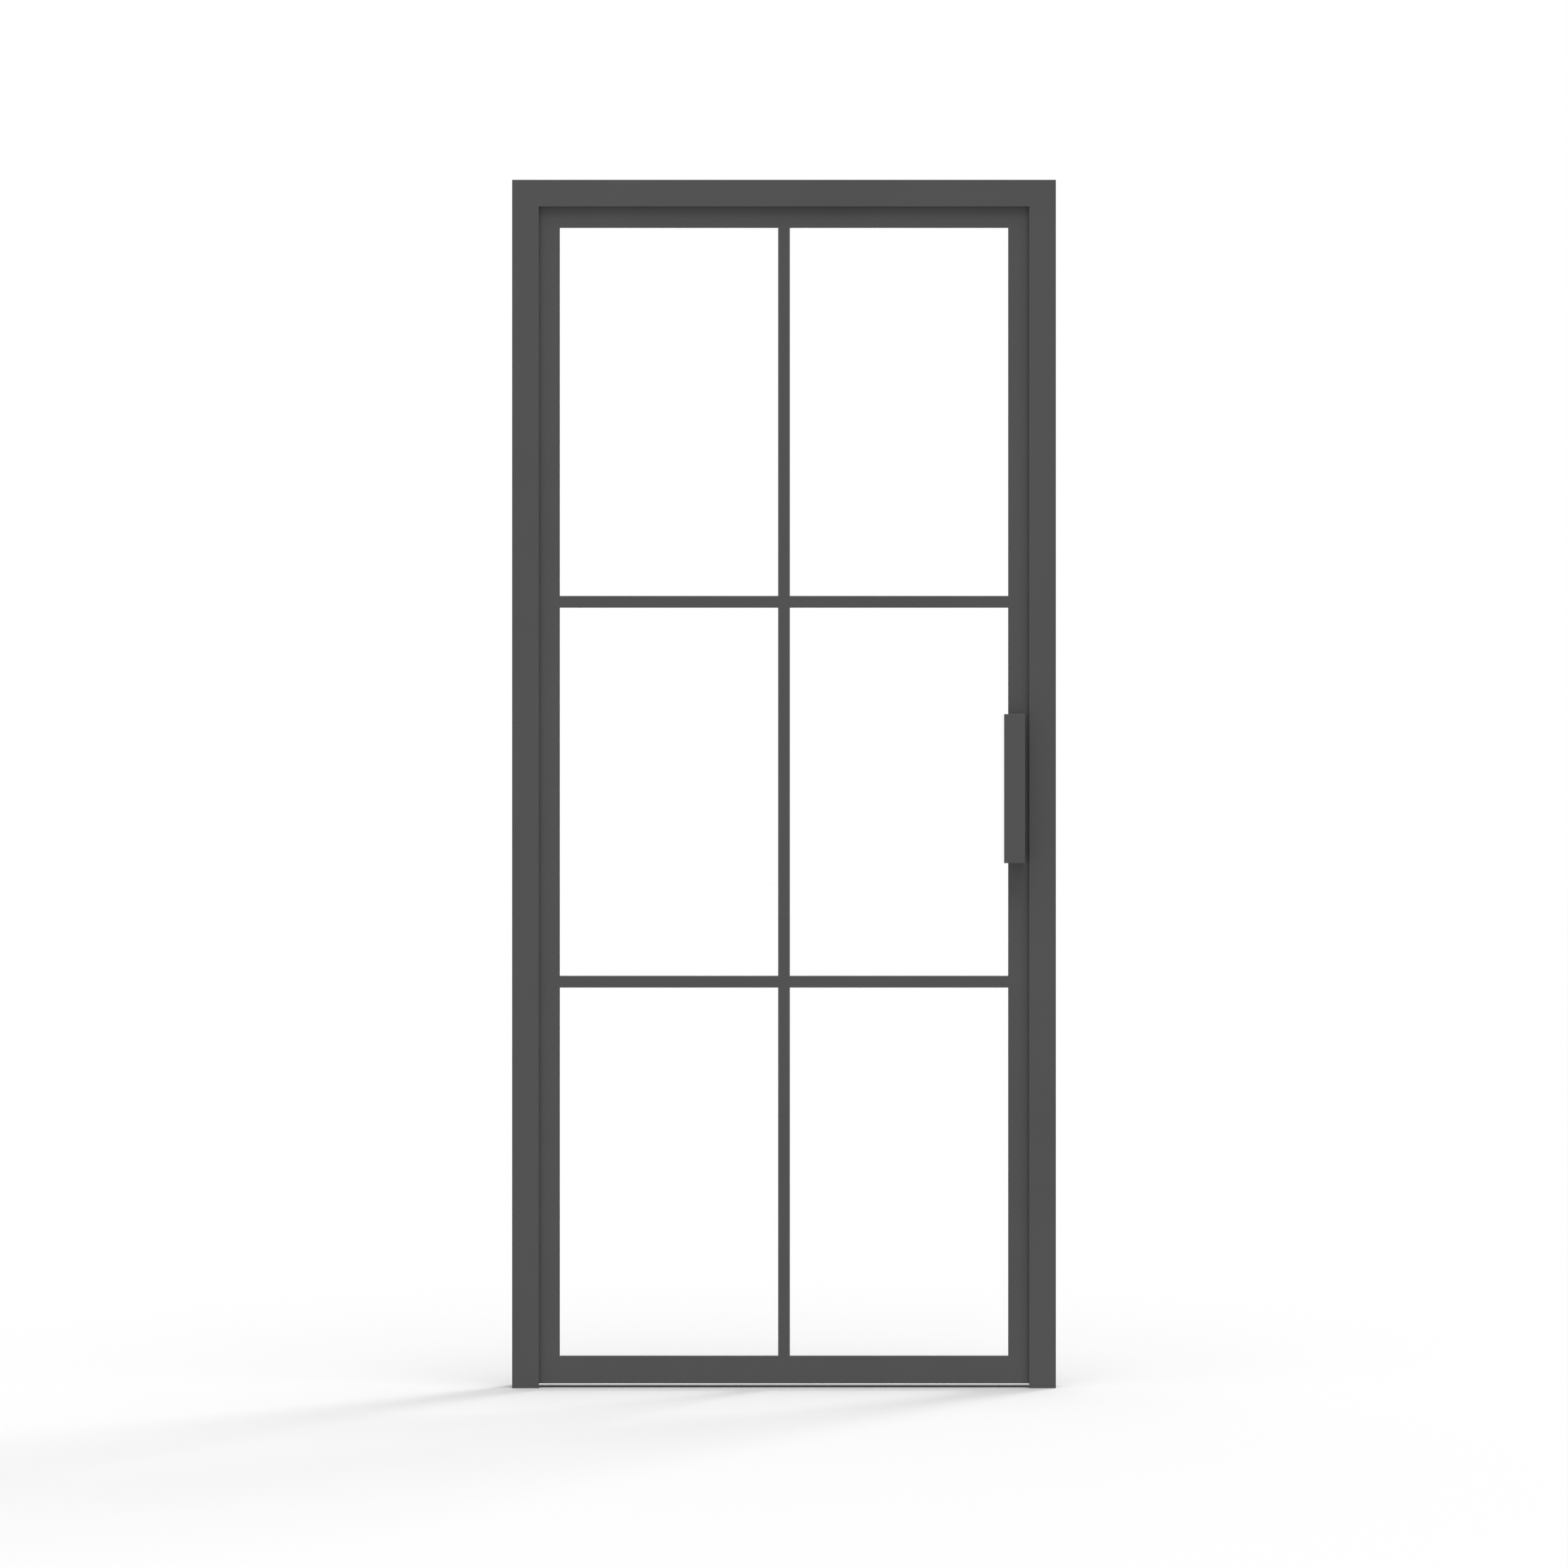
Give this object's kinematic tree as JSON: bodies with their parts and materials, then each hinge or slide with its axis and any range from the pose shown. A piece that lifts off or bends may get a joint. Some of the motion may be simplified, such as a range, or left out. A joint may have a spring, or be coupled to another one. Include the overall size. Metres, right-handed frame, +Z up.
{
  "type": "glass door",
  "caption": "Steel-framed glass door in its own frame: a hinged leaf with clear panes between slim bars, closing on a sealed stop, with an angle-shaped grip on each face.",
  "frame": {"origin": "on the floor, in the middle of the width and of the leaf's thickness", "axes": "+X to the closing edge, hinges at -X; +Y to the side that the leaf opens to; +Z up"},
  "size_m": [0.945, 0.124, 2.1],
  "materials": {
    "steel_paint": "fine matt powder coat",
    "grip_paint": "fine matt powder coat",
    "bead_paint": "fine matt powder coat",
    "hinge_paint": "fine matt powder coat",
    "clear_glass": "clear float glass",
    "seal_rubber": "matt black seal",
    "glazing_tape": "black glazing tape",
    "glazing_rubber": "black gasket",
    "block_plastic": "hard plastic",
    "bare_steel": "zinc plated",
    "washer_brass": "turned brass",
    "magnet": "nickel plated"
  },
  "bodies": {
    "frame": {"hinge_jamb": "steel_paint", "lock_jamb": "steel_paint", "frame_head": "steel_paint", "hinge_jamb_stop": "steel_paint", "lock_jamb_stop": "steel_paint", "head_stop": "steel_paint", "hinge_jamb_seal": "seal_rubber", "head_seal": "seal_rubber", "lock_jamb_seal": "seal_rubber", "catch_magnets": "magnet", "hinge_pins": "bare_steel", "hinge_washers": "washer_brass", "lower_hinge_frame_half": "hinge_paint", "middle_hinge_frame_half": "hinge_paint", "upper_hinge_frame_half": "hinge_paint"},
    "leaf": {"hinge_stile": "steel_paint", "lock_stile": "steel_paint", "top_rail": "steel_paint", "bottom_rail": "steel_paint", "vertical_bar": "steel_paint", "lower_bar": "steel_paint", "upper_bar": "steel_paint", "front_grip": "grip_paint", "rear_grip": "grip_paint", "pane_lower_left": "clear_glass", "front_tape_lower_left": "glazing_tape", "rear_gasket_lower_left": "glazing_rubber", "glazing_beads_lower_left": "bead_paint", "pane_middle_left": "clear_glass", "front_tape_middle_left": "glazing_tape", "rear_gasket_middle_left": "glazing_rubber", "glazing_beads_middle_left": "bead_paint", "pane_upper_left": "clear_glass", "front_tape_upper_left": "glazing_tape", "rear_gasket_upper_left": "glazing_rubber", "glazing_beads_upper_left": "bead_paint", "pane_lower_right": "clear_glass", "front_tape_lower_right": "glazing_tape", "rear_gasket_lower_right": "glazing_rubber", "glazing_beads_lower_right": "bead_paint", "pane_middle_right": "clear_glass", "front_tape_middle_right": "glazing_tape", "rear_gasket_middle_right": "glazing_rubber", "glazing_beads_middle_right": "bead_paint", "pane_upper_right": "clear_glass", "front_tape_upper_right": "glazing_tape", "rear_gasket_upper_right": "glazing_rubber", "glazing_beads_upper_right": "bead_paint", "setting_blocks": "block_plastic", "lower_hinge_leaf_half": "hinge_paint", "middle_hinge_leaf_half": "hinge_paint", "upper_hinge_leaf_half": "hinge_paint", "grip_tie_rods": "bare_steel", "grip_spacers": "bare_steel"}
  },
  "joints": [
    {"name": "leaf_hinge", "type": "hinge", "parent": "frame", "child": "leaf", "pos_m": [-0.44, 0.0283, 1.0365], "axis": [0, 0, 1], "range_deg": [0, 110]}
  ]
}
